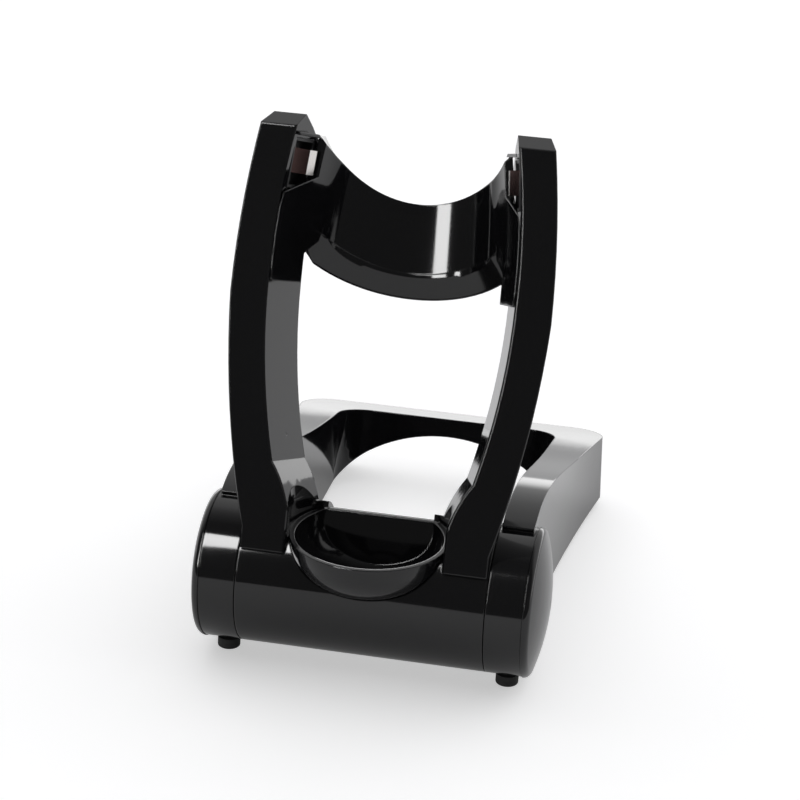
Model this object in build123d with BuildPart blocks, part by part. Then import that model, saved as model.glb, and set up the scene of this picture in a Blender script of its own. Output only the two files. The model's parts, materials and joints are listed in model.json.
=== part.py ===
# Folding charging stand for a shaver: a ring-shaped base, a fork-shaped frame that turns on a
# barrel hinge at the front, a drip bowl, and two sprung contact clips that take the handle.
import os
from math import cos, radians, sin, sqrt, tan

from build123d import *

os.makedirs("parts", exist_ok=True)

# Driving sizes, in millimetres and degrees. X runs across, Y to the back, Z up.
# Heights and depths are taken from the hinge axis.
barrel_r = 22.0
barrel_half = 36.7
end_gap = 0.3
knuckle_outer = 47.8
barrel_wall = 2.5
web_t = 2.4
wall = 2.2
cap_bulge = 5.3
cap_overhang = 0.25
cap_wall = 2.0
cap_rim_r = 2.2
foot_height = 3.3
foot_r = 3.4
foot_pin_r = 1.6
foot_pin_long = 3.0

fork_lean = 18.5
fork_back = -1.0
fork_top = 131.0
fork_outer_slant = 20.0
fork_inner_slant = 12.0
fork_cover_t = 1.8
web_low = 8.0
flare_half = 23.4
edge_cut = 0.45

band_top = 129.2
band_dip = 112.4
band_rim_half = 27.6
ledge_middle = 90.0
ledge_side = 101.5
ledge_half = 29.0
band_wall = 2.6
band_bead = 0.5
band_bead_high = 1.5
band_cut_middle = 113.0
band_cut_side = 96.9
band_cut_fall = 2.15
band_half_top = 31.3
band_half_low = 34.0
band_depth = 25.0
band_centre = 14.0
ear_front_t = 0.45
ear_slant = 21.0
ear_low = 85.8
ear_front = 21.2
ear_back = 0.6
ear_corner_r = 1.0

bowl_r = 23.2
bowl_depth = 17.0
bowl_wall = 1.4
bowl_y = -8.5
bowl_rim = 18.7
bowl_turn = 30.0
bowl_back = 1.4
bowl_clear_r = 24.0
deck_half = 16.0
deck_z = 15.0

base_back = 139.5
back_draft = 1.0
base_half_front = 47.2
base_half_back = 51.4
foot_half_front = 43.5
foot_half_middle = 46.8
foot_half_back = 53.2
base_corner_r = 11.0
base_floor = -barrel_r
opening_half = 37.4
opening_back = 129.0
opening_corner_r = 10.0
opening_side_draft = 0.5
opening_rear_draft = 13.0
arch_apex = -5.8
arch_r = 52.0
cover_t = 2.0
arch_cover_t = 1.3
screw_boss_r = 2.4
screw_boss_high = 8.5
screw_core_r = 1.0
screw_head_r = 2.0

pin_r = 6.0
pin_bore_r = 3.6
pin_inner_x = 27.5
pin_boss_long = 8.0
pin_boss_wall = 2.2
bush_wall = 1.4
bush_flange_r = 9.0
bush_flange_t = 1.2
running_gap = 0.05
washer_t = 0.8
fit_gap = 0.15
loose_gap = 0.3

inlet_x = -33.0
inlet_z = -8.5
inlet_w = 11.0
inlet_h = 6.0
inlet_deep = 6.0
inlet_wall = 1.2
inlet_pin_gap = 5.0
contact_r = 0.8
lead_r = 0.8

clip_s = 121.0
clip_n = 13.0
clip_high = 7.2
clip_t = 0.5
clip_proud = 2.2
clip_ramp = 5.2
clip_leaf = 5.0
clip_root = 0.7
stem_r = 1.2
stem_stop_r = 1.9
stem_back = 2.4
carrier_long = 13.0
carrier_high = 14.5
carrier_drop = 0.75
carrier_deep = 4.0
carrier_floor = 1.0
carrier_side = 0.8
recess_low = 111.5
recess_high = 128.2
recess_rear_low = 117.0
recess_rear = 6.0

# The origin is the middle of the footprint, on the floor.
bowl_front = bowl_y - bowl_r
hinge_y = -(bowl_front + base_back + back_draft) / 2
hinge_z = barrel_r + foot_height
lean = radians(fork_lean)
slant_out = tan(radians(fork_outer_slant))
slant_in = tan(radians(fork_inner_slant))
knuckle_inner = barrel_half + end_gap
far = 200.0


def side_plane(x):
    """Local x is the way to the back, local y is up, both from the hinge axis."""
    return Plane(origin=(x, hinge_y, hinge_z), x_dir=(0, 1, 0), z_dir=(1, 0, 0))


def plan_plane(z):
    """Local x runs across and local y to the back, at height z over the hinge axis."""
    return Plane(origin=(0, hinge_y, hinge_z + z), x_dir=(1, 0, 0), z_dir=(0, 0, 1))


def rear_plane(y):
    """Local x runs to the left and local y up, seen from behind, at depth y."""
    return Plane(origin=(0, hinge_y + y, hinge_z), x_dir=(-1, 0, 0), z_dir=(0, 1, 0))


def fork_plane(n):
    """Local x runs across and local y up the leaning fork, n in front of the hinge axis."""
    origin = (0, hinge_y - n * cos(lean), hinge_z + n * sin(lean))
    return Plane(origin=origin, x_dir=(1, 0, 0), z_dir=(0, -cos(lean), sin(lean)))


def fork_side_plane(x):
    """Local x is the way behind the hinge axis and local y the way up the leaning fork."""
    x_dir = (0, cos(lean), -sin(lean))
    return Plane(origin=(x, hinge_y, hinge_z), x_dir=x_dir, z_dir=(1, 0, 0))


def fork_section_plane(s):
    """Local x runs across and local y straight back through the fork, s up the fork."""
    origin = (0, hinge_y + s * sin(lean), hinge_z + s * cos(lean))
    return Plane(origin=origin, x_dir=(1, 0, 0), z_dir=(0, sin(lean), cos(lean)))


def fork_point(x, s, n):
    """A point x across, s up the fork and n in front of the hinge axis."""
    y = hinge_y + s * sin(lean) - n * cos(lean)
    z = hinge_z + s * cos(lean) + n * sin(lean)
    return (x, y, z)


def write(builder, name):
    builder.part.label = name
    export_step(builder.part, f"parts/{name}.step")


def disc(x_one, x_two, radius, bore=0.0):
    """A round block along the hinge axis, with a bore where one is given."""
    with BuildPart() as block:
        with BuildSketch(side_plane(min(x_one, x_two))):
            Circle(radius)
            if bore:
                Circle(bore, mode=Mode.SUBTRACT)
        extrude(amount=abs(x_two - x_one))
    return block.part


def post(x, y, z_low, z_high, radius):
    """An upright round post, y behind the hinge axis."""
    with BuildPart() as block:
        with BuildSketch(plan_plane(z_low)):
            with Locations((x, y)):
                Circle(radius)
        extrude(amount=z_high - z_low)
    return block.part


# Base: two side rails and a rear crossbar in one moulding, carried in front by two knuckles.
crest = [(-4.0, 21.63), (15.0, 26.0), (40.0, 22.4), (77.0, 12.2), (110.0, 4.2), (base_back + 5, -2.6)]
crest_top = 28.0
base_half_middle = (base_half_front + base_half_back) / 2


def ring_face(height, inset, half_front, half_middle, half_back, back):
    """Plan of the base at one height: sides that spread to the back, and round rear corners."""
    radius = base_corner_r - inset
    low = back - inset - radius
    diagonal = radius * sqrt(0.5)
    with BuildSketch(plan_plane(height)) as face:
        with BuildLine():
            side = ThreePointArc((half_front - inset, 12), (half_middle - inset, 75), (half_back - inset, low))
            centre = (half_back - inset - radius, low)
            corner = ThreePointArc(side @ 1, (centre[0] + diagonal, low + diagonal), (centre[0], low + radius))
            Polyline(corner @ 1, (0, low + radius), (0, inset), (half_front - inset, inset), side @ 0)
        make_face()
        mirror(about=Plane.YZ)
    return face.sketch


def ring_block(inset):
    """The base's outer form, or its hollow when inset, before its top and opening are cut."""
    with BuildPart() as block:
        add(ring_face(base_floor, inset, foot_half_front, foot_half_middle, foot_half_back, base_back + back_draft))
        add(ring_face(crest_top, inset, base_half_front, base_half_middle, base_half_back, base_back))
        loft(ruled=True)
    return block.part


def under_crest(drop):
    """Everything under the rails' top, which swells behind the hinge and runs down to the back."""
    with BuildPart() as prism:
        with BuildSketch(side_plane(-70)):
            with BuildLine():
                top = Spline([(y, z - drop) for y, z in crest])
                end = (top @ 1).X
                Polyline(top @ 1, (crest[-1][0], base_floor), (crest[0][0], base_floor), top @ 0)
            make_face()
        extrude(amount=140)
    return prism.part


def opening_block(grow):
    """The opening between the rails, wider at the top, and grown where it bounds the hollow."""
    side_tan = tan(radians(opening_side_draft))
    rear_tan = tan(radians(opening_rear_draft))
    radius = opening_corner_r + grow
    with BuildPart() as block:
        for height in (base_floor - 2, crest_top + 2):
            half = opening_half + grow + (height - bowl_rim) * side_tan
            back = opening_back + grow + height * rear_tan
            with BuildSketch(plan_plane(height)):
                with Locations((0, (back - radius - 1) / 2)):
                    RectangleRounded(2 * half, back + radius + 1, radius)
        loft(ruled=True)
    return block.part


def tunnel(radius):
    """The round tunnel under the rear crossbar."""
    with BuildPart() as block:
        with BuildSketch(rear_plane(60)):
            with Locations((0, arch_apex - arch_r)):
                Circle(radius)
        extrude(amount=120)
    return block.part


def rail_form():
    """The rails and crossbar as one solid block."""
    with BuildPart() as form:
        add(ring_block(0.0))
        add(under_crest(0.0), mode=Mode.INTERSECT)
        add(opening_block(0.0), mode=Mode.SUBTRACT)
    return form.part


def rail_hollow(inset, roof):
    """The space inside the rails and crossbar, with walls on every side but the bottom."""
    with BuildPart() as space:
        add(ring_block(inset))
        add(under_crest(roof), mode=Mode.INTERSECT)
        add(opening_block(inset), mode=Mode.SUBTRACT)
        add(disc(-70, 70, barrel_r), mode=Mode.SUBTRACT)
    return space.part


def inlet_box(grow, front, back):
    """A block through the rear wall where the power inlet sits."""
    with BuildPart() as block:
        with BuildSketch(rear_plane(front)):
            with Locations((-inlet_x, inlet_z)):
                SlotOverall(inlet_w + 2 * (inlet_wall + grow), inlet_h + 2 * (inlet_wall + grow))
        extrude(amount=back - front)
    return block.part


def lead_hole(x):
    """A hole from a rail into its knuckle, for the lead."""
    with BuildPart() as hole:
        with BuildSketch(rear_plane(barrel_r - 6)):
            with Locations((-x, lead_rise)):
                Circle(2 * lead_r)
        extrude(amount=9)
    return hole.part


lead_x = (opening_half + base_half_front) / 2 - 0.3
lead_rise = 3.0
cover_screws = [(opening_half + 3.8, 36.0), (foot_half_back - 6.8, 112.0)]
front_foot = ((knuckle_inner + knuckle_outer) / 2, -4.0)
rear_foot = (foot_half_back - 7.2, base_back - 13.5)
foot_hole = (base_floor - 8, base_floor + 7)
cover_top = base_floor + cover_t
boss_end = pin_boss_long
base_form = rail_form()

with BuildPart() as base_shell:
    add(base_form)
    add(rail_hollow(wall, wall), mode=Mode.SUBTRACT)
    add(tunnel(arch_r), mode=Mode.SUBTRACT)
    for side in (-1, 1):
        for x, y in cover_screws:
            add(post(side * x, y, cover_top + fit_gap, cover_top + screw_boss_high, screw_boss_r) & base_form)
        add(disc(side * knuckle_inner, side * knuckle_outer, barrel_r))
        add(disc(side * (knuckle_inner + web_t), side * (knuckle_outer + 1), barrel_r - barrel_wall), mode=Mode.SUBTRACT)
        add(disc(side * knuckle_inner, side * (knuckle_inner + pin_boss_long), pin_r + pin_boss_wall))
        add(disc(side * (knuckle_inner - 1), side * (knuckle_inner + washer_t), bush_flange_r), mode=Mode.SUBTRACT)
        add(disc(side * (knuckle_inner - 1), side * knuckle_outer, pin_r), mode=Mode.SUBTRACT)
        for x, y in cover_screws:
            add(post(side * x, y, base_floor - 1, cover_top + 8, screw_core_r), mode=Mode.SUBTRACT)
        add(lead_hole(side * lead_x), mode=Mode.SUBTRACT)
        add(post(side * front_foot[0], front_foot[1], *foot_hole, foot_pin_r), mode=Mode.SUBTRACT)
    add(inlet_box(fit_gap, opening_back + wall + 1, base_back + 5), mode=Mode.SUBTRACT)
write(base_shell, "base_shell")

with BuildPart() as cover_zone:
    with BuildSketch(plan_plane(base_floor)):
        with Locations((0, 75)):
            Rectangle(140, 160)
    extrude(amount=cover_t)
    add(tunnel(arch_r + arch_cover_t))

with BuildPart() as base_bottom_cover:
    add(rail_hollow(wall + fit_gap, wall))
    add(cover_zone.part, mode=Mode.INTERSECT)
    add(tunnel(arch_r), mode=Mode.SUBTRACT)
    for side in (-1, 1):
        for x, y in cover_screws:
            add(post(side * x, y, base_floor - 1, cover_top + 1, screw_core_r + 0.3), mode=Mode.SUBTRACT)
        add(post(side * rear_foot[0], rear_foot[1], *foot_hole, foot_pin_r), mode=Mode.SUBTRACT)
write(base_bottom_cover, "base_bottom_cover")

with BuildPart() as base_screws:
    for side in (-1, 1):
        for x, y in cover_screws:
            add(post(side * x, y, base_floor - 1.3, base_floor, screw_head_r))
            add(post(side * x, y, base_floor - 0.5, cover_top + 8, screw_core_r))
write(base_screws, "base_screws")


def foot(x, y):
    """A rubber foot: a short round pad with a plug that snaps into the moulding above."""
    with BuildPart() as pad:
        with BuildSketch(plan_plane(-hinge_z)):
            with Locations((x, y)):
                Circle(foot_r)
        extrude(amount=foot_height)
        fillet(pad.edges().filter_by(GeomType.CIRCLE).group_by(Axis.Z)[0], 0.6)
        add(post(x, y, base_floor, base_floor + foot_pin_long, foot_pin_r))
    return pad.part


with BuildPart() as front_right_foot:
    add(foot(*front_foot))
    add(disc(knuckle_inner, knuckle_outer, barrel_r, barrel_r - barrel_wall), mode=Mode.SUBTRACT)
    add(post(front_foot[0], front_foot[1], base_floor - 0.5, base_floor + foot_pin_long, foot_pin_r))
write(front_right_foot, "front_right_foot")
with BuildPart() as front_left_foot:
    add(mirror(front_right_foot.part, about=Plane.YZ, mode=Mode.PRIVATE))
write(front_left_foot, "front_left_foot")
with BuildPart() as rear_right_foot:
    add(foot(*rear_foot))
write(rear_right_foot, "rear_right_foot")
with BuildPart() as rear_left_foot:
    add(mirror(rear_right_foot.part, about=Plane.YZ, mode=Mode.PRIVATE))
write(rear_left_foot, "rear_left_foot")

# End caps: shallow domes that close the knuckles and hide the ends of the hinge pins.
def dome(reach, radius, corner):
    """A shallow dome with a rounded rim, standing out from the knuckle's end."""
    big = (reach**2 + (radius - corner) ** 2 - corner**2) / (2 * (reach - corner))
    share = big / (big - corner)
    join = (reach - big + share * (big - reach), share * (radius - corner))
    with BuildPart() as form:
        with BuildSketch(Plane(origin=(knuckle_outer, hinge_y, hinge_z), x_dir=(1, 0, 0), z_dir=(0, -1, 0))):
            with BuildLine():
                rim = TangentArc((0, radius), join, tangent=(1, 0))
                face = TangentArc(rim @ 1, (reach, 0), tangent=rim % 1)
                Polyline(face @ 1, (0, 0), rim @ 0)
            make_face()
        revolve(axis=Axis((0, hinge_y, hinge_z), (1, 0, 0)))
    return form.part


with BuildPart() as right_end_cap:
    cap_r = barrel_r + cap_overhang
    spigot_r = barrel_r - barrel_wall - fit_gap
    add(dome(cap_bulge, cap_r, cap_rim_r))
    add(dome(cap_bulge - cap_wall, cap_r - cap_wall, cap_rim_r / 4), mode=Mode.SUBTRACT)
    add(disc(knuckle_outer - 3, knuckle_outer + 1.4, spigot_r, spigot_r - 1.6))
write(right_end_cap, "right_end_cap")
with BuildPart() as left_end_cap:
    add(mirror(right_end_cap.part, about=Plane.YZ, mode=Mode.PRIVATE))
write(left_end_cap, "left_end_cap")

# Hinge pins: hollow trunnions pressed into the knuckles, so that the leads pass through.
with BuildPart() as right_hinge_pin:
    add(disc(pin_inner_x, knuckle_inner + pin_boss_long, pin_r, pin_bore_r))
write(right_hinge_pin, "right_hinge_pin")
with BuildPart() as left_hinge_pin:
    add(mirror(right_hinge_pin.part, about=Plane.YZ, mode=Mode.PRIVATE))
write(left_hinge_pin, "left_hinge_pin")

with BuildPart() as right_friction_washer:
    add(disc(knuckle_inner, knuckle_inner + washer_t, bush_flange_r - fit_gap, pin_r + fit_gap))
write(right_friction_washer, "right_friction_washer")
with BuildPart() as left_friction_washer:
    add(mirror(right_friction_washer.part, about=Plane.YZ, mode=Mode.PRIVATE))
write(left_friction_washer, "left_friction_washer")

# Power inlet: a two-pin socket body set into the crossbar's rear wall.
inlet_back = base_back - 0.5
with BuildPart() as power_inlet:
    add(inlet_box(0.0, inlet_back - inlet_deep, inlet_back))
    with BuildSketch(rear_plane(inlet_back - inlet_deep + inlet_wall)):
        with Locations((-inlet_x, inlet_z)):
            SlotOverall(inlet_w, inlet_h)
    extrude(amount=inlet_deep, mode=Mode.SUBTRACT)
    with BuildSketch(rear_plane(inlet_back - inlet_deep - 1)):
        with Locations((-inlet_x, inlet_z)):
            with GridLocations(inlet_pin_gap, 1, 2, 1):
                Circle(contact_r)
    extrude(amount=inlet_wall + 2, mode=Mode.SUBTRACT)
write(power_inlet, "power_inlet")

with BuildPart() as inlet_pins:
    with BuildSketch(rear_plane(inlet_back - inlet_deep - 1.5)):
        with Locations((-inlet_x, inlet_z)):
            with GridLocations(inlet_pin_gap, 1, 2, 1):
                Circle(contact_r)
    extrude(amount=inlet_deep)
write(inlet_pins, "inlet_pins")

# Fork: two blade-like arms rising from the barrel, leaning back, hollow behind their fronts.
outer_points = [(36.5, 14.0), (43.4, 46.0), (47.0, 82.0), (46.0, 106.0), (43.0, fork_top)]
inner_points = [(36.0, 86.0), (35.3, 108.0), (32.2, fork_top)]
waist_points = [(29.4, 34.0), (34.1, 58.0)]
flare_points = [(flare_half, 20.5), (26.3, 28.8)]
front_n = barrel_r


def outer_face(inset, n):
    """Front outline of the fork's right half, from the middle out to the arm's outer edge."""
    points = [(x - inset, s) for x, s in outer_points]
    with BuildSketch(fork_plane(n)) as face:
        with BuildLine():
            low = ThreePointArc(points[0], points[1], points[2])
            high = ThreePointArc(points[2], points[3], points[4])
            Polyline(high @ 1, (points[4][0] - 1.5, fork_top + 12), (-30, fork_top + 12), (-30, web_low))
            Polyline((-30, web_low), (points[0][0], web_low), points[0])
        make_face()
    return face.sketch


def inner_face(inset, n):
    """Front outline of the space between the arms, from the middle out to the arm's inner edge."""
    inner = [(x + inset, s) for x, s in inner_points]
    waist = [(x + inset, s) for x, s in waist_points]
    flare = [(x + inset, s) for x, s in flare_points]
    with BuildSketch(fork_plane(n)) as face:
        with BuildLine():
            one = ThreePointArc(flare[0], flare[1], waist[0])
            two = ThreePointArc(one @ 1, waist[1], inner[0])
            three = ThreePointArc(two @ 1, inner[1], inner[2])
            Polyline(three @ 1, (inner[2][0] - 0.5, fork_top + 14), (-30, fork_top + 14), (-30, web_low - 1))
            Polyline((-30, web_low - 1), (flare[0][0], web_low - 1), flare[0])
        make_face()
    return face.sketch


def slanted(face, slant, depth):
    """A face driven back through the fork, drifting towards the middle on its way."""
    with BuildPart() as block:
        add(face)
        extrude(amount=depth, dir=(-slant, cos(lean), -sin(lean)))
    return block.part


def side_prism(points, half=60.0):
    """A block cut along X from a side view of the fork."""
    with BuildPart() as block:
        with BuildSketch(fork_side_plane(-half)):
            with BuildLine():
                Polyline(*points, close=True)
            make_face()
        extrude(amount=2 * half)
    return block.part


def space_between(inset):
    """The right half of the space between the arms, out to the arm's inner face."""
    return slanted(inner_face(inset + 2 * slant_in, front_n + 2), slant_in, sqrt(1 + slant_in**2) * 64)


def right_arm(inset, profile):
    """The right arm, or its inside when inset, cut to a side profile of (behind, up) points."""
    with BuildPart() as arm:
        add(slanted(outer_face(inset, front_n), slant_out, sqrt(1 + slant_out**2) * 60))
        add(space_between(inset), mode=Mode.SUBTRACT)
        add(side_prism(profile), mode=Mode.INTERSECT)
        with BuildSketch(side_plane(-60)):
            Rectangle(500, 500)
        extrude(amount=60, mode=Mode.SUBTRACT)
    return arm.part



def arm_profile(inset, back):
    """Side profile of an arm: a flat front, a roof with a ridge, and the back."""
    roof = [(-front_n + inset, fork_top - 0.4 - inset), (-front_n + 0.4 + inset, fork_top - inset)]
    ridge = [(-16.2, fork_top + 3.5 - inset), (-7.7, fork_top - 1.6 - inset), (-back, fork_top - 5.5 - inset)]
    return [(-front_n + inset, -2)] + roof + ridge + [(-back, -2)]


def bowl_form(grow, top):
    """The drip bowl's outer form, or its inside when the growth is negative."""
    with BuildPart() as form:
        with BuildSketch(Plane(origin=(0, hinge_y + bowl_y, hinge_z + bowl_rim), x_dir=(1, 0, 0), z_dir=(0, -1, 0))):
            wide = bowl_r + grow
            deep = bowl_depth + grow
            turn_sin = sin(radians(bowl_turn))
            turn_cos = cos(radians(bowl_turn))
            share = (1 - turn_cos) / turn_sin
            side_r = (deep - share * wide) / (turn_cos - share * (1 - turn_sin))
            join = (wide - side_r * (1 - turn_sin), -side_r * turn_cos)
            with BuildLine():
                bottom = TangentArc((0, -deep), join, tangent=(1, 0))
                side = TangentArc(bottom @ 1, (wide, 0), tangent=bottom % 1)
                if top:
                    Polyline(side @ 1, (wide, top), (0, top), bottom @ 0)
                else:
                    Polyline(side @ 1, (0, 0), bottom @ 0)
            make_face()
        revolve(axis=Axis((0, hinge_y + bowl_y, hinge_z), (0, 0, 1)))
    return form.part


def front_space(back):
    """Everything in front of a plane that leans with the fork, back behind the hinge axis."""
    return side_prism([(-100, -80), (back, -80), (back, 160), (-100, 160)])


def rear_half(inset):
    """A block behind the bowl's middle, under its rim."""
    with BuildPart() as block:
        with BuildSketch(plan_plane(-20)):
            with Locations((0, bowl_y + 4 + 25)):
                Rectangle(80, 50)
        extrude(amount=20 + bowl_rim - inset)
    return block.part


# The clips' own frame: on the arm's inner face, which turns in towards the top and the back.
clip_x = 31.75
clip_rise = -0.095
clip_norm = sqrt(1 + clip_rise**2 + slant_in**2)
clip_axis = (1 / clip_norm, -clip_rise / clip_norm, slant_in / clip_norm)
clip_back = (-slant_in / sqrt(1 + slant_in**2), 0.0, 1 / sqrt(1 + slant_in**2))


def turned(direction):
    """A direction given as across, up the fork and behind it, in the part's own frame."""
    x, s, b = direction
    return Vector(x, s * sin(lean) + b * cos(lean), s * cos(lean) - b * sin(lean))


def clip_plane(depth):
    """Local x is the way to the back, along the arm's face; depth is measured into the arm."""
    start = Vector(*fork_point(clip_x, clip_s, clip_n)) + turned(clip_axis) * depth
    return Plane(origin=start, x_dir=turned(clip_back), z_dir=turned(clip_axis))


def clip_block(depth_one, depth_two, long, high, at=(0, 0)):
    """A block on the clip's axis between two depths."""
    with BuildPart() as block:
        with BuildSketch(clip_plane(depth_one)):
            with Locations(at):
                Rectangle(long, high)
        extrude(amount=depth_two - depth_one)
    return block.part


def clip_post(depth_one, depth_two, radius):
    """A round post along the clip's axis between two depths, behind the clip's middle."""
    with BuildPart() as block:
        with BuildSketch(clip_plane(depth_one)):
            with Locations((stem_back, 0)):
                Circle(radius)
        extrude(amount=depth_two - depth_one)
    return block.part


def fork_post(x, s, n_front, n_back, radius):
    """A round post straight through the fork."""
    with BuildPart() as block:
        with BuildSketch(fork_plane(n_front)):
            with Locations((x, s)):
                Circle(radius)
        extrude(amount=-(n_front - n_back))
    return block.part


arm_screws = [(29.6, 41.0), (34.8, 76.0)]
bush_inner_x = 28.5
bush_r = pin_r + running_gap + bush_wall
cover_front = fork_back + fork_cover_t

with BuildPart() as fork_cavity:
    add(right_arm(wall, arm_profile(wall, fork_back - 1)))
    add(disc(bowl_r - 5, barrel_half - web_t, barrel_r - barrel_wall))
    add(bowl_form(fit_gap + wall, 40), mode=Mode.SUBTRACT)
    add(disc(bush_inner_x, barrel_half - web_t, bush_r + wall), mode=Mode.SUBTRACT)
    for x, s in arm_screws:
        add(fork_post(x, s, front_n, cover_front + fit_gap, screw_boss_r), mode=Mode.SUBTRACT)

with BuildPart() as arm_form:
    add(right_arm(0.0, arm_profile(0.0, fork_back)))
    add(slanted(outer_face(edge_cut, front_n), -1.0, 60), mode=Mode.INTERSECT)
    add(slanted(inner_face(edge_cut + 2, front_n + 2), 1.0, 60), mode=Mode.SUBTRACT)

with BuildPart() as frame_shell:
    add(arm_form.part)
    add(mirror(arm_form.part, about=Plane.YZ, mode=Mode.PRIVATE))
    add(disc(-barrel_half, barrel_half, barrel_r))
    add(bowl_form(fit_gap + wall, 0) & rear_half(0) & front_space(bowl_back + fit_gap + wall))
    add(fork_cavity.part, mode=Mode.SUBTRACT)
    add(mirror(fork_cavity.part, about=Plane.YZ, mode=Mode.PRIVATE), mode=Mode.SUBTRACT)
    add(bowl_form(fit_gap, 60) & front_space(bowl_back + fit_gap), mode=Mode.SUBTRACT)
    clear = post(0, bowl_y, bowl_rim - 0.5, bowl_rim + 45, bowl_clear_r)
    add(clear & front_space(bowl_back + fit_gap), mode=Mode.SUBTRACT)
    with BuildSketch(plan_plane(deck_z)):
        with Locations((0, barrel_r)):
            Rectangle(2 * deck_half, 2 * barrel_r)
    extrude(amount=barrel_r, mode=Mode.SUBTRACT)
    for side in (-1, 1):
        add(disc(side * (bush_inner_x - 2), side * (barrel_half + 1), bush_r + fit_gap / 3), mode=Mode.SUBTRACT)
        seat = barrel_half - bush_flange_t
        add(disc(side * seat, side * (barrel_half + 1), bush_flange_r + fit_gap), mode=Mode.SUBTRACT)
        for x, s in arm_screws:
            add(fork_post(side * x, s, 10, fork_back - 2, screw_core_r), mode=Mode.SUBTRACT)
    pocket = clip_block(-3, 5, carrier_long + fit_gap, carrier_high + fit_gap, (0, -carrier_drop))
    add(pocket, mode=Mode.SUBTRACT)
    add(mirror(pocket, about=Plane.YZ, mode=Mode.PRIVATE), mode=Mode.SUBTRACT)
write(frame_shell, "frame_shell")

with BuildPart() as right_arm_cover:
    add(right_arm(wall + fit_gap, arm_profile(wall + fit_gap, fork_back)))
    slab = [(-cover_front, 24), (-fork_back, 24), (-fork_back, 200), (-cover_front, 200)]
    add(side_prism(slab), mode=Mode.INTERSECT)
    for x, s in arm_screws:
        add(fork_post(x, s, 10, fork_back - 2, screw_core_r + 0.3), mode=Mode.SUBTRACT)
write(right_arm_cover, "right_arm_cover")
with BuildPart() as left_arm_cover:
    add(mirror(right_arm_cover.part, about=Plane.YZ, mode=Mode.PRIVATE))
write(left_arm_cover, "left_arm_cover")

with BuildPart() as frame_screws:
    for side in (-1, 1):
        for x, s in arm_screws:
            add(fork_post(side * x, s, fork_back, fork_back - 1.3, screw_head_r))
            add(fork_post(side * x, s, 9, fork_back - 0.5, screw_core_r))
write(frame_screws, "frame_screws")

with BuildPart() as right_hinge_bush:
    add(disc(bush_inner_x, barrel_half, bush_r, pin_r + running_gap))
    add(disc(barrel_half - bush_flange_t, barrel_half, bush_flange_r, pin_r + running_gap))
write(right_hinge_bush, "right_hinge_bush")
with BuildPart() as left_hinge_bush:
    add(mirror(right_hinge_bush.part, about=Plane.YZ, mode=Mode.PRIVATE))
write(left_hinge_bush, "left_hinge_bush")

with BuildPart() as drip_bowl:
    add(bowl_form(0.0, 0.0) & front_space(bowl_back))
    add(bowl_form(-bowl_wall, 5) & front_space(bowl_back - bowl_wall), mode=Mode.SUBTRACT)
write(drip_bowl, "drip_bowl")


# Cradle: a curved band across the back of the fork, with a shelf at its foot and two ears.
def band_face(s, half, depth):
    """Plan of the band through the fork at height s: an arch that is open to the front."""
    with BuildSketch(fork_section_plane(s)) as face:
        with BuildLine():
            arch = EllipticalCenterArc((0, -band_centre), half, depth, 0, arc_size=180)
            Polyline(arch @ 1, (-half, -front_n - 8), (half, -front_n - 8), arch @ 0)
        make_face()
    return face.sketch


def band_form(grow):
    """The band's outer form, or its inside, wider below than above."""
    low = ear_low - 6
    with BuildPart() as form:
        add(band_face(low, band_half_low + grow, band_depth + grow))
        add(band_face(band_top + 4, band_half_top + grow, band_depth + grow))
        loft(ruled=True)
    return form.part


def below_arc(half, side, middle, rise):
    """Everything under an arc through three points of the fork's front view."""
    with BuildPart() as block:
        with BuildSketch(fork_plane(front_n + 10)):
            with BuildLine():
                arc = ThreePointArc((-half, side), (0, middle), (half, side))
                wide = [(half + 20, side + rise), (half + 20, 60), (-half - 20, 60), (-half - 20, side + rise)]
                Polyline(arc @ 1, *wide, arc @ 0)
            make_face()
        extrude(amount=-(front_n + 40))
    return block.part


def band_foot():
    """Everything under the band's sloping foot, an arc driven back and down through the fork."""
    ahead = front_n + 10
    lift = band_cut_fall * ahead
    way = turned((0, -band_cut_fall, 1))
    with BuildPart() as block:
        with BuildSketch(fork_plane(ahead)):
            with BuildLine():
                ends = band_cut_side + lift
                arc = ThreePointArc((-ledge_half, ends), (0, band_cut_middle + lift), (ledge_half, ends))
                wide = [(ledge_half + 20, ends), (ledge_half + 20, -60), (-ledge_half - 20, -60), (-ledge_half - 20, ends)]
                Polyline(arc @ 1, *wide, arc @ 0)
            make_face()
        extrude(amount=sqrt(1 + band_cut_fall**2) * (ahead + 40), dir=way)
    return block.part


def ear_side():
    """Side view of the ears, with a round lower front corner."""
    with BuildPart() as block:
        with BuildSketch(fork_side_plane(-60)):
            with BuildLine():
                corner = Line((ear_back, ear_low), (-ear_front + ear_corner_r, ear_low))
                turn = TangentArc(corner @ 1, (-ear_front, ear_low + ear_corner_r), tangent=(-1, 0))
                top = [(-ear_front, band_top - 1), (-ear_front + 1, band_top), (ear_back, band_top)]
                Polyline(turn @ 1, *top, corner @ 0)
            make_face()
        extrude(amount=120)
    return block.part


glue_gap = fit_gap / 3
slant_ear = tan(radians(ear_slant))
half_space = space_between(-glue_gap)
ear_ahead = 1.5
ear_start = ear_ahead * slant_ear - (front_n - ear_front) * slant_in - glue_gap - ear_front_t
ear_space = slanted(inner_face(ear_start, ear_front + ear_ahead), slant_ear, sqrt(1 + slant_ear**2) * 60)
beyond_arm = right_arm(-glue_gap, [(-60, 50), (40, 50), (40, 200), (-60, 200)])
band_front = [(-band_centre, 60), (60, 60), (60, 160), (-band_centre, 160)]
recess = [(-60, recess_low), (-front_n + 1, recess_low), (-recess_rear, recess_rear_low)]
recess = recess + [(-recess_rear, recess_high), (-60, recess_high)]

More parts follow.
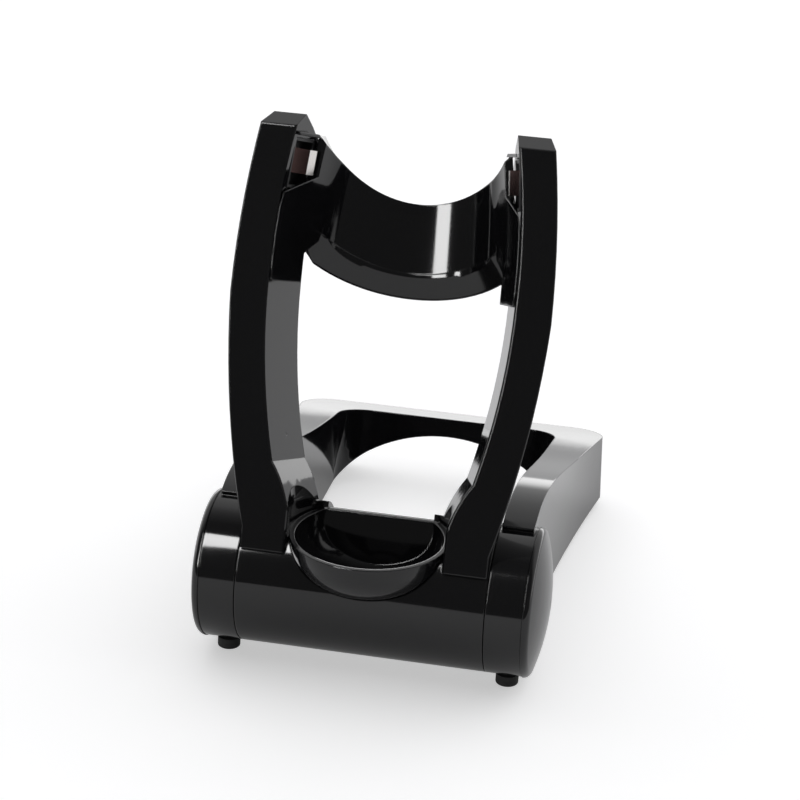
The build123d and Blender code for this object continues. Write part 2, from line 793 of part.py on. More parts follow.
with BuildPart() as right_ear:
    add(half_space)
    add(ear_side(), mode=Mode.INTERSECT)
    add(ear_space, mode=Mode.SUBTRACT)
    with BuildSketch(side_plane(-60)):
        Rectangle(500, 500)
    extrude(amount=60, mode=Mode.SUBTRACT)

with BuildPart() as cradle:
    bead = below_arc(ledge_half, ledge_side + band_bead_high, ledge_middle + band_bead_high, 6)
    add(band_form(band_wall))
    add(band_form(-band_bead), mode=Mode.SUBTRACT)
    add(band_form(0.0) - bead, mode=Mode.SUBTRACT)
    add(below_arc(band_rim_half, band_top, band_dip, 0), mode=Mode.INTERSECT)
    add(band_foot(), mode=Mode.SUBTRACT)
    add(side_prism(band_front), mode=Mode.INTERSECT)
    add(beyond_arm, mode=Mode.SUBTRACT)
    add(mirror(beyond_arm, about=Plane.YZ, mode=Mode.PRIVATE), mode=Mode.SUBTRACT)
    add(right_ear.part)
    add(mirror(right_ear.part, about=Plane.YZ, mode=Mode.PRIVATE))
    add(side_prism(recess), mode=Mode.SUBTRACT)
    carrier_room = clip_block(-0.3, 3, carrier_long + 2 * fit_gap, carrier_high + 2 * fit_gap, (0, -carrier_drop))
    add(carrier_room, mode=Mode.SUBTRACT)
    add(mirror(carrier_room, about=Plane.YZ, mode=Mode.PRIVATE), mode=Mode.SUBTRACT)
write(cradle, "cradle")

# Contact clips: sprung leaves in the ears' recesses, each on a stem through its carrier.
with BuildPart() as right_contact_carrier:
    drop = (0, -carrier_drop)
    inside_long = carrier_long - 2 * carrier_side
    inside_high = carrier_high - 2 * carrier_side
    add(clip_block(running_gap, carrier_deep, carrier_long, carrier_high, drop))
    add(clip_block(-1, carrier_deep - carrier_floor, inside_long, inside_high, drop), mode=Mode.SUBTRACT)
    add(clip_post(-1, carrier_deep + 1, stem_r + fit_gap), mode=Mode.SUBTRACT)
write(right_contact_carrier, "right_contact_carrier")
with BuildPart() as left_contact_carrier:
    add(mirror(right_contact_carrier.part, about=Plane.YZ, mode=Mode.PRIVATE))
write(left_contact_carrier, "left_contact_carrier")


def clip_strip(half_one, half_two):
    """The clip's bent strip: a ramp, a flat leaf and a root, between two heights on it."""
    flat = clip_plane(0)
    level = Plane(origin=flat.origin + flat.y_dir * half_one, x_dir=flat.x_dir, z_dir=flat.y_dir)
    deep = -1 if level.y_dir.dot(turned(clip_axis)) < 0 else 1
    top = [(-clip_ramp, clip_root), (0, -clip_proud), (clip_leaf, -clip_proud), (clip_leaf, clip_root)]
    under = [(clip_leaf - clip_t, clip_root), (clip_leaf - clip_t, -clip_proud + clip_t)]
    under = under + [(clip_t / 2, -clip_proud + clip_t), (-clip_ramp + 1.1 * clip_t, clip_root)]
    with BuildPart() as strip:
        with BuildSketch(level):
            with BuildLine():
                Polyline(*[(x, deep * depth) for x, depth in top + under], close=True)
            make_face()
        extrude(amount=half_two - half_one)
    return strip.part


with BuildPart() as right_contact_clip:
    add(clip_strip(-clip_high / 2, clip_high / 2))
    stop = carrier_deep + running_gap
    add(clip_post(-clip_proud + clip_t / 2, stop + clip_t, stem_r))
    add(clip_post(stop, stop + clip_t, stem_stop_r))
write(right_contact_clip, "right_contact_clip")
with BuildPart() as left_contact_clip:
    add(mirror(right_contact_clip.part, about=Plane.YZ, mode=Mode.PRIVATE))
write(left_contact_clip, "left_contact_clip")


# Leads: one for each contact, from the inlet through a rail, a hinge pin and an arm.
def lead(points, bend):
    """A round lead along straight runs that are joined by bends."""
    with BuildPart() as wire:
        with BuildLine():
            path = FilletPolyline(*points, radius=bend)
        with BuildSketch(Plane(origin=path @ 0, z_dir=path % 0)):
            Circle(lead_r)
        sweep()
    return wire.part


def base_point(x, y, z):
    return (x, hinge_y + y, hinge_z + z)


lead_y = inlet_back - inlet_deep - lead_r - 0.2
lead_out = knuckle_outer + 0.6
turn_y = 10.0
pin_x = inlet_x + inlet_pin_gap / 2 + contact_r


def rail_run(side):
    """The lead's way along one rail, into the knuckle and through the hinge pin."""
    rear = [base_point(side * lead_x, lead_y, inlet_z), base_point(side * lead_x, 100, -5)]
    front = [base_point(side * lead_x, 45, lead_rise), base_point(side * lead_x, turn_y + 5, lead_rise)]
    turn = [base_point(side * lead_out, turn_y, 0), base_point(side * lead_out, 0, 0)]
    return rear + front + turn + [base_point(side * (pin_inner_x + 1), 0, 0)]


with BuildPart() as left_base_lead:
    add(lead([base_point(inlet_x - inlet_pin_gap / 2 - contact_r, lead_y, inlet_z)] + rail_run(-1), 2.5))
write(left_base_lead, "left_base_lead")

with BuildPart() as right_base_lead:
    over = [base_point(pin_x, lead_y, inlet_z), base_point(-26, lead_y, inlet_z)]
    over_z = arch_apex + arch_cover_t + lead_r + 0.25
    over = over + [base_point(-12, lead_y, over_z), base_point(12, lead_y, over_z), base_point(26, lead_y, inlet_z)]
    add(lead(over + rail_run(1), 2.5))
write(right_base_lead, "right_base_lead")

with BuildPart() as right_arm_lead:
    run = [(25.5, 0, 0), (27.5, 16, 7), (30.5, 28, 13), (35.4, 45, 14), (38.8, 70, 14.5)]
    run = [fork_point(*point) for point in run + [(39.4, 90, 14.5), (38.6, 106, 13.5), (36.4, 112.4, 12.5)]]
    add(lead(run, 4.0))
write(right_arm_lead, "right_arm_lead")
with BuildPart() as left_arm_lead:
    add(mirror(right_arm_lead.part, about=Plane.YZ, mode=Mode.PRIVATE))
write(left_arm_lead, "left_arm_lead")
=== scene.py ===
import json
import math

import bpy
from mathutils import Matrix, Vector


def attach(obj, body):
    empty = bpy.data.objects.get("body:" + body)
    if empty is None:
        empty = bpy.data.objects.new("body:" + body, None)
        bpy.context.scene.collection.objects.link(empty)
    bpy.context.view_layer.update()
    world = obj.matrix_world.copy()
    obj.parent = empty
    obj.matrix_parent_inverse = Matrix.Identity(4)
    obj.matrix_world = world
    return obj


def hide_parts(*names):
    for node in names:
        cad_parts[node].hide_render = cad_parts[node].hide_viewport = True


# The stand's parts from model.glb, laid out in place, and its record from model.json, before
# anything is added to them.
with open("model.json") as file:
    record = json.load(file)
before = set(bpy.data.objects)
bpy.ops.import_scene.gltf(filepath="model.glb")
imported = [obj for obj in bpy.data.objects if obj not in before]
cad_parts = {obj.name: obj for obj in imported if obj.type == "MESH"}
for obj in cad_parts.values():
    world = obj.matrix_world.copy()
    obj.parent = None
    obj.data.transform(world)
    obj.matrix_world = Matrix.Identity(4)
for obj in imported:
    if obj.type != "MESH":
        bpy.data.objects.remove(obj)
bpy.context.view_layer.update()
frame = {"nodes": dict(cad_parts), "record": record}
record = frame["record"]
nodes = frame["nodes"]
hinge_place = record["behaviour"]["joints"][0]["pos_m"]
hinge = Vector(hinge_place)

# Camera: it looks down on the stand from the front, a little from its right, with a long lens
# and the slight roll of a camera that was held by hand. Its place is counted from the hinge.
view_azimuth = math.radians(10.244)
view_elevation = math.radians(22.191)
view_roll = math.radians(2.820)
view_distance, view_shift, view_rise = 0.7565, 0.00803, 0.05374
forward = Vector(
    (
        -math.sin(view_azimuth) * math.cos(view_elevation),
        math.cos(view_azimuth) * math.cos(view_elevation),
        -math.sin(view_elevation),
    )
)
rightward = Vector((math.cos(view_azimuth), math.sin(view_azimuth), 0.0))
upward = rightward.cross(forward)
camera_x = rightward * math.cos(view_roll) + upward * math.sin(view_roll)
camera_y = upward * math.cos(view_roll) - rightward * math.sin(view_roll)
camera_place = hinge - forward * view_distance + camera_x * view_shift + camera_y * view_rise
camera_turn = Matrix((camera_x, camera_y, -forward)).transposed().to_4x4()
bpy.ops.object.camera_add(location=camera_place)
camera = bpy.context.object
camera.name = "front_camera"
camera.matrix_world = Matrix.Translation(camera_place) @ camera_turn
camera.data.sensor_width = 36.0
camera.data.lens = 114.904
camera.data.clip_start = 0.05
bpy.context.scene.camera = camera
bpy.context.scene.view_settings.view_transform = "Standard"

# Glossy black mouldings: base, end caps, fork, cradle and bowl have one finish. They are
# injection moulded in a polished tool, with the slight waviness, the soft edges and the
# handling marks of real gloss plastic.
gloss_ior, haze_spread, edge_softness = 1.52, 0.05, 0.0005
mark_scale, ripple_scale = 22.0, 55.0


def moulded_gloss(name, tint, polish, waviness):
    mat = bpy.data.materials.new(name)
    mat.use_nodes = True
    tree = mat.node_tree
    shader = tree.nodes["Principled BSDF"]
    shader.inputs["IOR"].default_value = gloss_ior
    place = tree.nodes.new("ShaderNodeTexCoord")

    cloud = tree.nodes.new("ShaderNodeTexNoise")
    cloud.inputs["Scale"].default_value = mark_scale
    cloud.inputs["Detail"].default_value = 4.0
    tree.links.new(place.outputs["Object"], cloud.inputs["Vector"])
    haze = tree.nodes.new("ShaderNodeMapRange")
    haze.inputs["From Min"].default_value = 0.35
    haze.inputs["From Max"].default_value = 0.75
    haze.inputs["To Min"].default_value = polish
    haze.inputs["To Max"].default_value = polish + haze_spread
    tree.links.new(cloud.outputs["Fac"], haze.inputs["Value"])
    tree.links.new(haze.outputs["Result"], shader.inputs["Roughness"])

    shade = tree.nodes.new("ShaderNodeMix")
    shade.data_type = "RGBA"
    shade.inputs["A"].default_value = (*tint, 1.0)
    shade.inputs["B"].default_value = (tint[0] * 1.5, tint[1] * 1.5, tint[2] * 1.6, 1.0)
    tree.links.new(cloud.outputs["Fac"], shade.inputs["Factor"])
    tree.links.new(shade.outputs["Result"], shader.inputs["Base Color"])

    ripple = tree.nodes.new("ShaderNodeTexNoise")
    ripple.inputs["Scale"].default_value = ripple_scale
    ripple.inputs["Detail"].default_value = 1.0
    tree.links.new(place.outputs["Object"], ripple.inputs["Vector"])
    edge = tree.nodes.new("ShaderNodeBevel")
    edge.samples = 6
    edge.inputs["Radius"].default_value = edge_softness
    relief = tree.nodes.new("ShaderNodeBump")
    relief.inputs["Strength"].default_value = 1.0
    relief.inputs["Distance"].default_value = waviness
    tree.links.new(ripple.outputs["Fac"], relief.inputs["Height"])
    tree.links.new(edge.outputs["Normal"], relief.inputs["Normal"])
    tree.links.new(relief.outputs["Normal"], shader.inputs["Normal"])
    return mat


def finish_with(node, mat):
    nodes[node].data.materials.clear()
    nodes[node].data.materials.append(mat)


body_gloss = moulded_gloss(
    "black_body_gloss", tint=(0.0045, 0.0045, 0.005), polish=0.05, waviness=0.00002
)
for node in ("base_shell", "left_end_cap", "right_end_cap", "frame_shell", "drip_bowl"):
    finish_with(node, body_gloss)

# Cradle: one glossy moulding that lies against both arms and runs round between them as a
# hollow band. Its skins are computed from sections, as ear and band meet on a slanting curve.
# The sections are in the fork's own measures, in mm: across, up the fork, out of its front.
fork_lean = math.radians(18.5)
hinge_back, hinge_high = hinge_place[1] * 1000.0, hinge_place[2] * 1000.0


def from_fork(across, up, ahead):
    back = hinge_back + up * math.sin(fork_lean) - ahead * math.cos(fork_lean)
    high = hinge_high + up * math.cos(fork_lean) + ahead * math.sin(fork_lean)
    return Vector((across, back, high)) / 1000.0


# The arms' inner faces curve in towards the fork's top and turn in towards the back.
arm_low, arm_length, arm_front = 86.0, 45.0, 22.0
arm_gap, arm_swell, arm_draw = 35.9, 0.833, 4.633
arm_turn = math.tan(math.radians(12.0))


def arm_side(up, ahead):
    share = (up - arm_low) / arm_length
    bow = arm_gap + arm_swell * share - arm_draw * share * share
    return bow - (arm_front - ahead) * arm_turn


# The band is half an ellipse seen from above, and narrows upwards.
band_low, band_width, band_taper = 79.8, 34.0, 0.05056
band_centre, band_deep, band_wall = 14.0, 25.0, 2.6


def band_half(up, wall):
    return band_width - (up - band_low) * band_taper + wall


def band_side(up, ahead, wall):
    half = band_half(up, wall)
    if ahead > band_centre:
        return half
    return half * math.sqrt(max(1.0 - ((band_centre - ahead) / (band_deep + wall)) ** 2, 0.0))


# The hollow's side is the ear or the band, whichever is further in, filled where they meet.
ear_wall, ear_front, ear_slope = 0.5, 21.0, 0.1713
flare_from, flare_rate, ear_blend = 8.0, 0.5, 4.0


def hollow_side(up, ahead):
    ear = arm_side(up, ahead) - ear_wall - max(ear_front - ahead, 0.0) * ear_slope
    band = band_side(up, ahead, 0.0) + max(ahead - flare_from, 0.0) * flare_rate
    near = max(ear_blend - abs(ear - band), 0.0) / ear_blend
    return min(ear, band) - near * near


# Outside, the cradle clears the clip carriers near its top, and behind the arms the band
# bounds it. Inside, the bead along the ledge fades out towards the ear's front.
back_stretch, behind_arm = 0.29, 2.0
carrier_gap, carrier_low, carrier_run = 0.5, 107.0, 4.0
bead_end, bead_run = 6.0, 4.0


def cradle_point(column, up, outside, bead):
    kind, at = column
    if kind == "band":
        wall = band_wall if outside else -bead
        half = band_half(up, wall)
        return half * math.sin(at), band_centre - (band_deep + wall) * math.cos(at)
    if outside:
        ahead = at + min(at, 0.0) * back_stretch
        clear = carrier_gap * min(max((up - carrier_low) / carrier_run, 0.0), 1.0)
        side = arm_side(up, ahead) - clear
        if at < behind_arm:
            side = min(side, band_side(up, ahead, band_wall))
        return side, ahead
    fade = min(max((bead_end - at) / bead_run, 0.0), 1.0)
    return hollow_side(up, at) - bead * fade, at


# A point's height depends on its place and its place on its height, so the two are settled
# in a few rounds.
settle_rounds = 8


def settle(column, outside, bead, start, height):
    up = start
    for _ in range(settle_rounds):
        up = height(*cradle_point(column, up, outside, bead))
    return up


# The rim dips in a round arc over the band and is level along the ears. The front edge is
# rounded, above and below.
rim_up, rim_reach = 129.2, 27.6
rim_arc_centre, rim_arc_radius = 143.3, 31.07
front_edge, front_round = 20.2, 1.0


def rim_height(across, ahead):
    rim = rim_up - max(ahead - front_edge, 0.0)
    if across > rim_reach:
        return rim
    return min(rim, rim_arc_centre - math.sqrt(rim_arc_radius**2 - across**2))


# The foot is an arch that falls back and down under the band, then a slope under the ear's
# back part, then the level edge of the ear's front part.
ear_back, ear_step = 0.58, 6.7
slope_up, slope_fall, ear_foot = 99.4, 0.75, 86.8
arch_centre, arch_radius, arch_fall, arc_reach = 78.83, 34.17, 2.15, 29.0


def foot_height(across, ahead):
    if ear_back < ahead < ear_step:
        return slope_up - slope_fall * ahead
    if ahead > ear_back:
        into_round = min(max(ahead - front_edge, 0.0), front_round)
        return ear_foot - math.sqrt(front_round**2 - into_round**2)
    arch = math.sqrt(arch_radius**2 - min(across, arc_reach) ** 2)
    return arch_centre + arch + arch_fall * ahead


# The ledge is where the shelf at the band's foot ends, along the top of its bead.
ledge_centre, ledge_radius = 133.82, 42.32


def ledge_height(across, ahead):
    return ledge_centre - math.sqrt(ledge_radius**2 - min(across, arc_reach) ** 2)


# One half's columns run from the band's middle to the ear's front: by angle round the band,
# then by mm ahead, and closer together at the foot's step and at the rounded front edge.
band_columns, band_end = 9, 28.36
columns = [("band", math.radians(band_end * i / band_columns)) for i in range(band_columns)]
back_places = (-8.0, -7.0, -6.0, -5.0, -4.0, -3.0, -2.2, -1.4, -0.7, 0.0, 0.57)
ear_places = (1.5, 2.5, 3.5, 5.0, 5.9, 6.65, 6.75, 8.5, 10.5, 12.0, 14.0, 16.0, 18.0)
front_places = (20.2, 20.6, 20.9, 21.1, 21.2)
columns += [("side", at) for at in back_places + ear_places + front_places]

# Each column has rows up to the ledge, with the bead, and rows from there to the rim. Behind
# the ears the wall thins towards the rim.
bead_high, bead_step, bead_rows, wall_rows = 0.5, 0.02, 4, 14
foot_guess, ledge_guess, rim_guess = 95.0, 100.0, 125.0
ear_from, rim_share, rim_thinning = 1.0, 0.2, 4.0
half_skins = []
for column in columns:
    on_ear = column[1] > ear_from
    low = settle(column, False, bead_high, foot_guess, foot_height)
    out_low = settle(column, True, 0.0, foot_guess, foot_height)
    ledge = settle(column, False, bead_high, ledge_guess, ledge_height)
    top = settle(column, False, 0.0, rim_guess, rim_height)
    out_top = settle(column, True, 0.0, rim_guess, rim_height) if on_ear else top
    heights = [(low + (ledge - low) * i / bead_rows, bead_high) for i in range(bead_rows + 1)]
    wall_high = top - ledge - bead_step
    for i in range(wall_rows + 1):
        heights.append((ledge + bead_step + wall_high * i / wall_rows, 0.0))
    inside, outside = [], []
    for up, bead in heights:
        across, ahead = cradle_point(column, up, False, bead)
        inside.append((across, up, ahead))
        thick = 1.0 if on_ear else min(rim_share + (top - up) / rim_thinning, 1.0)
        out_up = out_low + (out_top - out_low) * (up - low) / (top - low)
        out_across, out_ahead = cradle_point(column, out_up, True, 0.0)
        out_across = across + (out_across - across) * thick
        out_ahead = ahead + (out_ahead - ahead) * thick
        outside.append((out_across, out_up, out_ahead))
    half_skins.append((inside, outside))


def other_side(skin):
    return [(-across, up, ahead) for across, up, ahead in skin]


skins = [(other_side(one), other_side(two)) for one, two in reversed(half_skins[1:])]
skins += half_skins
row_count = len(skins[0][0])
points = [from_fork(*place) for one, two in skins for place in one + two]

# Four-sided faces join the columns, inside and outside, along the foot and rim and at the ends.
faces = []
for i in range(len(skins) - 1):
    here, there = i * 2 * row_count, (i + 1) * 2 * row_count
    out_here, out_there = here + row_count, there + row_count
    top_here, top_there = out_here - 1, out_there - 1
    for j in range(row_count - 1):
        faces.append((here + j, there + j, there + j + 1, here + j + 1))
        faces.append((out_here + j, out_here + j + 1, out_there + j + 1, out_there + j))
    faces.append((here, out_here, out_there, there))
    faces.append((top_here, top_there, top_there + row_count, top_here + row_count))
for i in (0, len(skins) - 1):
    here = i * 2 * row_count
    out_here = here + row_count
    for j in range(row_count - 1):
        faces.append((here + j, here + j + 1, out_here + j + 1, out_here + j))
cradle_mesh = bpy.data.meshes.new("arm_cradle")
cradle_mesh.from_pydata(points, [], faces)
cradle = bpy.data.objects.new("arm_cradle", cradle_mesh)
bpy.context.collection.objects.link(cradle)

# Clip pockets: one slanting cut through both ears of the cradle, with the clips in their
# carriers behind it. Its outline is given as mm ahead and mm up the fork.
pocket_outline = [(32.0, 111.5), (21.0, 111.5), (6.0, 117.0), (6.0, 128.2), (32.0, 128.2)]
pocket_reach = 45.0
corners = len(pocket_outline)
pocket_points = []
for across in (-pocket_reach, pocket_reach):
    pocket_points += [from_fork(across, up, ahead) for ahead, up in pocket_outline]
pocket_faces = [tuple(range(corners)), tuple(range(2 * corners - 1, corners - 1, -1))]
for i in range(corners):
    after = (i + 1) % corners
    pocket_faces.append((i, i + corners, after + corners, after))
pocket_mesh = bpy.data.meshes.new("pocket_cut")
pocket_mesh.from_pydata(pocket_points, [], pocket_faces)
pocket_cut = bpy.data.objects.new("pocket_cut", pocket_mesh)
bpy.context.collection.objects.link(pocket_cut)
for piece in (cradle, pocket_cut):
    bpy.ops.object.select_all(action="DESELECT")
    piece.select_set(True)
    bpy.context.view_layer.objects.active = piece
    bpy.ops.object.mode_set(mode="EDIT")
    bpy.ops.mesh.select_all(action="SELECT")
    bpy.ops.mesh.normals_make_consistent(inside=False)
    bpy.ops.object.mode_set(mode="OBJECT")
bpy.context.view_layer.objects.active = cradle
cut = cradle.modifiers.new("pockets", "BOOLEAN")
cut.operation = "DIFFERENCE"
cut.solver = "EXACT"
cut.object = pocket_cut
bpy.ops.object.modifier_apply(modifier="pockets")
bpy.data.objects.remove(pocket_cut, do_unlink=True)
bpy.data.meshes.remove(pocket_mesh)

# The cut leaves slivers, which are merged away, and its edges and the foot's stay crisp.
merge_gap, crisp_edge = 0.000003, math.radians(24.0)
bpy.ops.object.select_all(action="DESELECT")
cradle.select_set(True)
bpy.ops.object.shade_smooth()
bpy.ops.object.mode_set(mode="EDIT")
bpy.ops.mesh.select_all(action="SELECT")
bpy.ops.mesh.remove_doubles(threshold=merge_gap)
bpy.ops.mesh.dissolve_degenerate(threshold=merge_gap)
bpy.ops.mesh.select_all(action="DESELECT")
bpy.ops.mesh.select_mode(type="EDGE")
bpy.ops.mesh.edges_select_sharp(sharpness=crisp_edge)
bpy.ops.mesh.mark_sharp()
bpy.ops.object.mode_set(mode="OBJECT")
cradle.data.materials.append(body_gloss)
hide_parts("cradle")
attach(cradle, "fold_frame")

# Satin black covers, inlet, bushes and carriers: unpolished plastic mouldings, with the fine
# spark texture that the tool's eroded faces leave.
grain_contrast, grain_spread, grain_depth = 1.6, 0.08, 0.00005


def spark_texture(name, tint, roughness, grain):
    mat = bpy.data.materials.new(name)
    mat.use_nodes = True
    tree = mat.node_tree
    shader = tree.nodes["Principled BSDF"]
    place = tree.nodes.new("ShaderNodeTexCoord")
    grit = tree.nodes.new("ShaderNodeTexNoise")
    grit.inputs["Scale"].default_value = grain
    grit.inputs["Detail"].default_value = 3.0
    tree.links.new(place.outputs["Object"], grit.inputs["Vector"])
    shade = tree.nodes.new("ShaderNodeMix")
    shade.data_type = "RGBA"
    shade.inputs["A"].default_value = (*tint, 1.0)
    shade.inputs["B"].default_value = (*(channel * grain_contrast for channel in tint), 1.0)
    tree.links.new(grit.outputs["Fac"], shade.inputs["Factor"])
    tree.links.new(shade.outputs["Result"], shader.inputs["Base Color"])
    rough = tree.nodes.new("ShaderNodeMapRange")
    rough.inputs["To Min"].default_value = roughness - grain_spread
    rough.inputs["To Max"].default_value = roughness + grain_spread
    tree.links.new(grit.outputs["Fac"], rough.inputs["Value"])
    tree.links.new(rough.outputs["Result"], shader.inputs["Roughness"])
    relief = tree.nodes.new("ShaderNodeBump")
    relief.inputs["Strength"].default_value = 0.6
    relief.inputs["Distance"].default_value = grain_depth
    tree.links.new(grit.outputs["Fac"], relief.inputs["Height"])
    tree.links.new(relief.outputs["Normal"], shader.inputs["Normal"])
    return mat


cover_black = spark_texture(
    "black_cover_satin", tint=(0.012, 0.012, 0.013), roughness=0.45, grain=1500.0
)
for node in ("base_bottom_cover", "left_arm_cover", "right_arm_cover", "power_inlet"):
    finish_with(node, cover_black)
for side in ("left", "right"):
    finish_with(f"{side}_hinge_bush", cover_black)
    finish_with(f"{side}_contact_carrier", cover_black)

# Rubber feet: moulded in soft black rubber and pressed into the base's underside, with a
# little dust in their pores.
foot_rubber = spark_texture(
    "black_foot_rubber", tint=(0.014, 0.014, 0.014), roughness=0.75, grain=900.0
)
for node in ("front_left_foot", "front_right_foot", "rear_left_foot", "rear_right_foot"):
    finish_with(node, foot_rubber)

# Metal pieces: turned steel for the pins, washers and screws, brass for the inlet's pins, and
# plated spring strip for the clips below, each with the fine lines of turning or rolling.
line_shade, polish_below, polish_above = 0.86, 0.06, 0.08


def drawn_metal(name, tint, roughness, stretch):
    mat = bpy.data.materials.new(name)
    mat.use_nodes = True
    tree = mat.node_tree
    shader = tree.nodes["Principled BSDF"]
    shader.inputs["Metallic"].default_value = 1.0
    place = tree.nodes.new("ShaderNodeTexCoord")
    along = tree.nodes.new("ShaderNodeMapping")
    along.inputs["Scale"].default_value = stretch
    tree.links.new(place.outputs["Object"], along.inputs["Vector"])
    lines = tree.nodes.new("ShaderNodeTexNoise")
    lines.inputs["Scale"].default_value = 1.0
    lines.inputs["Detail"].default_value = 4.0
    tree.links.new(along.outputs["Vector"], lines.inputs["Vector"])
    shade = tree.nodes.new("ShaderNodeMix")
    shade.data_type = "RGBA"
    shade.inputs["A"].default_value = (*(channel * line_shade for channel in tint), 1.0)
    shade.inputs["B"].default_value = (*tint, 1.0)
    tree.links.new(lines.outputs["Fac"], shade.inputs["Factor"])
    tree.links.new(shade.outputs["Result"], shader.inputs["Base Color"])
    rough = tree.nodes.new("ShaderNodeMapRange")
    rough.inputs["To Min"].default_value = roughness - polish_below
    rough.inputs["To Max"].default_value = roughness + polish_above
    tree.links.new(lines.outputs["Fac"], rough.inputs["Value"])
    tree.links.new(rough.outputs["Result"], shader.inputs["Roughness"])
    return mat


turned_steel = drawn_metal(
    "turned_steel", tint=(0.62, 0.62, 0.63), roughness=0.3, stretch=(2500.0, 400.0, 400.0)
)
for side in ("left", "right"):
    finish_with(f"{side}_hinge_pin", turned_steel)
    finish_with(f"{side}_friction_washer", turned_steel)
for node in ("base_screws", "frame_screws"):
    finish_with(node, turned_steel)
pin_brass = drawn_metal(
    "inlet_pin_brass", tint=(0.78, 0.62, 0.33), roughness=0.22, stretch=(400.0, 400.0, 2500.0)
)
finish_with("inlet_pins", pin_brass)

# Sprung clips: bent strips of plated spring metal, each held in its carrier. Their colour is
# bright plate, with a darker warm painted reflection of the room on faces turned to the front,
# as the ramp's are.
# Colour of the painted reflection that the front-facing ramp gets in place of a mirrored room.
ramp_painted_reflection = (0.14, 0.085, 0.08, 1.0)
ramp_facing, ramp_full = -0.5, -0.6
clip_spring = drawn_metal(
    "plated_clip_strip", tint=(0.93, 0.90, 0.87), roughness=0.2, stretch=(300.0, 2500.0, 300.0)
)
tree = clip_spring.node_tree
shader = tree.nodes["Principled BSDF"]
bright = shader.inputs["Base Color"].links[0].from_socket
facing = tree.nodes.new("ShaderNodeTexCoord")
parts = tree.nodes.new("ShaderNodeSeparateXYZ")
tree.links.new(facing.outputs["Normal"], parts.inputs["Vector"])
# Painted reflection mask: by its normal, a face turned to the front takes the darker warm
# colour.
painted_reflection_share = tree.nodes.new("ShaderNodeMapRange")
painted_reflection_share.inputs["From Min"].default_value = ramp_facing
painted_reflection_share.inputs["From Max"].default_value = ramp_full
tree.links.new(parts.outputs["Y"], painted_reflection_share.inputs["Value"])
plate_and_painted_reflection = tree.nodes.new("ShaderNodeMix")
plate_and_painted_reflection.data_type = "RGBA"
plate_and_painted_reflection.inputs["B"].default_value = ramp_painted_reflection
tree.links.new(painted_reflection_share.outputs["Result"], plate_and_painted_reflection.inputs["Factor"])
tree.links.new(bright, plate_and_painted_reflection.inputs["A"])
tree.links.new(plate_and_painted_reflection.outputs["Result"], shader.inputs["Base Color"])
for node in ("left_contact_clip", "right_contact_clip"):
    finish_with(node, clip_spring)

# Leads: round copper leads in a smooth insulating sleeve, laid through the hollow mouldings
# of the base and the arms.
lead_sleeve = spark_texture("lead_sleeve", tint=(0.02, 0.02, 0.022), roughness=0.4, grain=2500.0)
for node in ("left_base_lead", "right_base_lead", "left_arm_lead", "right_arm_lead"):
    finish_with(node, lead_sleeve)

# Table: a plain white sheet that the stand is photographed on. The camera sees it brighter
# than the room lights it, the gloss a little too, and it keeps the stand's shadow.
table_size, table_place = 2.6, (0.0, -0.1, 0.0)
seen_glow, mirrored_glow = 0.5, 0.2
bpy.ops.object.select_all(action="DESELECT")
bpy.ops.mesh.primitive_plane_add(size=table_size, location=table_place)
table = bpy.context.object
table.name = "white_table"
table_white = bpy.data.materials.new("white_table")
table_white.use_nodes = True
tree = table_white.node_tree
paper = tree.nodes["Principled BSDF"]
paper.inputs["Base Color"].default_value = (0.72, 0.72, 0.73, 1.0)
paper.inputs["Roughness"].default_value = 1.0
paper.inputs["Specular IOR Level"].default_value = 0.0
paper.inputs["Emission Color"].default_value = (1.0, 1.0, 1.0, 1.0)
sight = tree.nodes.new("ShaderNodeLightPath")
glow = tree.nodes.new("ShaderNodeMath")
glow.operation = "MULTIPLY_ADD"
glow.inputs[1].default_value = seen_glow
tree.links.new(sight.outputs["Is Camera Ray"], glow.inputs[0])
mirrored = tree.nodes.new("ShaderNodeMath")
mirrored.operation = "MULTIPLY"
mirrored.inputs[1].default_value = mirrored_glow
tree.links.new(sight.outputs["Is Glossy Ray"], mirrored.inputs[0])
tree.links.new(mirrored.outputs[0], glow.inputs[2])
tree.links.new(glow.outputs[0], paper.inputs["Emission Strength"])
table.data.materials.append(table_white)

# Room: a lit white backdrop behind the stand, brightest at its foot, and dark on the camera's
# side, as in a small studio with one tall softbox. The camera itself sees plain white.
world = bpy.data.worlds.new("studio")
bpy.context.scene.world = world
world.use_nodes = True
room_tree = world.node_tree
room = room_tree.nodes["Background"]
room.inputs["Color"].default_value = (1.0, 1.0, 1.0, 1.0)
place = room_tree.nodes.new("ShaderNodeTexCoord")
split = room_tree.nodes.new("ShaderNodeSeparateXYZ")
room_tree.links.new(place.outputs["Generated"], split.inputs["Vector"])


def room_ramp(source, start, end, low, high):
    ramp = room_tree.nodes.new("ShaderNodeMapRange")
    ramp.interpolation_type = "SMOOTHSTEP"
    ramp.inputs["From Min"].default_value = start
    ramp.inputs["From Max"].default_value = end
    ramp.inputs["To Min"].default_value = low
    ramp.inputs["To Max"].default_value = high
    room_tree.links.new(source, ramp.inputs["Value"])
    return ramp.outputs["Result"]


def room_math(operation, first, second):
    step = room_tree.nodes.new("ShaderNodeMath")
    step.operation = operation
    for socket, value in zip(step.inputs, (first, second)):
        if isinstance(value, float):
            socket.default_value = value
        else:
            room_tree.links.new(value, socket)
    return step.outputs[0]


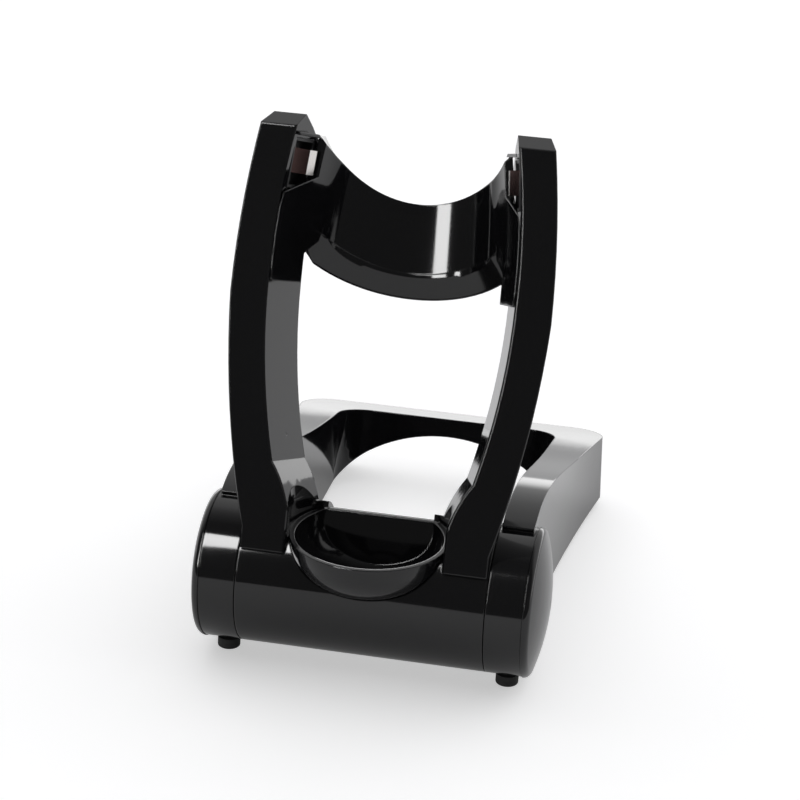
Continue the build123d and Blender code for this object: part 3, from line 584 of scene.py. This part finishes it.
dark_side = 0.11
behind = room_ramp(split.outputs["Y"], start=-0.3, end=0.3, low=0.0, high=1.0)
foot_glow = room_ramp(split.outputs["Z"], start=0.03, end=0.22, low=2.4, high=0.75)
overhead = room_ramp(split.outputs["Z"], start=0.8, end=0.98, low=1.0, high=0.35)
backdrop = room_math("MULTIPLY", room_math("MULTIPLY", foot_glow, overhead), behind)
level = room_math("MAXIMUM", backdrop, dark_side)
room_sight = room_tree.nodes.new("ShaderNodeLightPath")
seen = room_math("MAXIMUM", level, room_sight.outputs["Is Camera Ray"])
room_tree.links.new(seen, room.inputs["Strength"])

# Softbox: tall and narrow, in front to the left, leaning a little to the middle at its top.
# Its foot and head are directions from the stand, in degrees round from the stand's front
# and up from the table. It adds only to what the gloss and the metal mirror.
softbox_directions = ((-32.6, 13.0), (-23.1, 62.0))
softbox_reach, softbox_width, softbox_radiance = 1.6, 0.28, 17.0
softbox_ends = []
for side_angle, rise_angle in softbox_directions:
    aside, rise = math.radians(side_angle), math.radians(rise_angle)
    flat = math.cos(rise) * softbox_reach
    end = (flat * math.sin(aside), -flat * math.cos(aside), math.sin(rise) * softbox_reach)
    softbox_ends.append(Vector(end))
softbox_foot, softbox_head = softbox_ends
softbox_place = (softbox_foot + softbox_head) / 2
toward = -softbox_place.normalized()
tall = (softbox_head - softbox_foot).normalized()
wide = tall.cross(-toward).normalized()
tall = (-toward).cross(wide)
softbox_turn = Matrix((wide, tall, -toward)).transposed().to_4x4()
bpy.ops.object.light_add(type="AREA", location=softbox_place)
softbox = bpy.context.object
softbox.name = "tall_softbox"
softbox.data.shape = "RECTANGLE"
softbox.data.size = softbox_width
softbox.data.size_y = (softbox_head - softbox_foot).length
softbox.data.energy = softbox_radiance * math.pi * softbox.data.size * softbox.data.size_y
softbox.visible_diffuse = False
softbox.matrix_world = Matrix.Translation(softbox_place) @ softbox_turn

# Ceiling: the light that a white ceiling throws down on the stand, as a sun so broad that the
# shadows stay faint and soft. The gloss doesn't mirror it.
ceiling_strength, ceiling_spread = 1.2, math.radians(100.0)
ceiling_turn = (math.radians(-12.0), math.radians(8.0), 0.0)
bpy.ops.object.light_add(type="SUN", location=(0.0, 0.0, 2.0), rotation=ceiling_turn)
ceiling = bpy.context.object
ceiling.name = "white_ceiling"
ceiling.data.energy = ceiling_strength
ceiling.data.angle = ceiling_spread
ceiling.visible_glossy = False
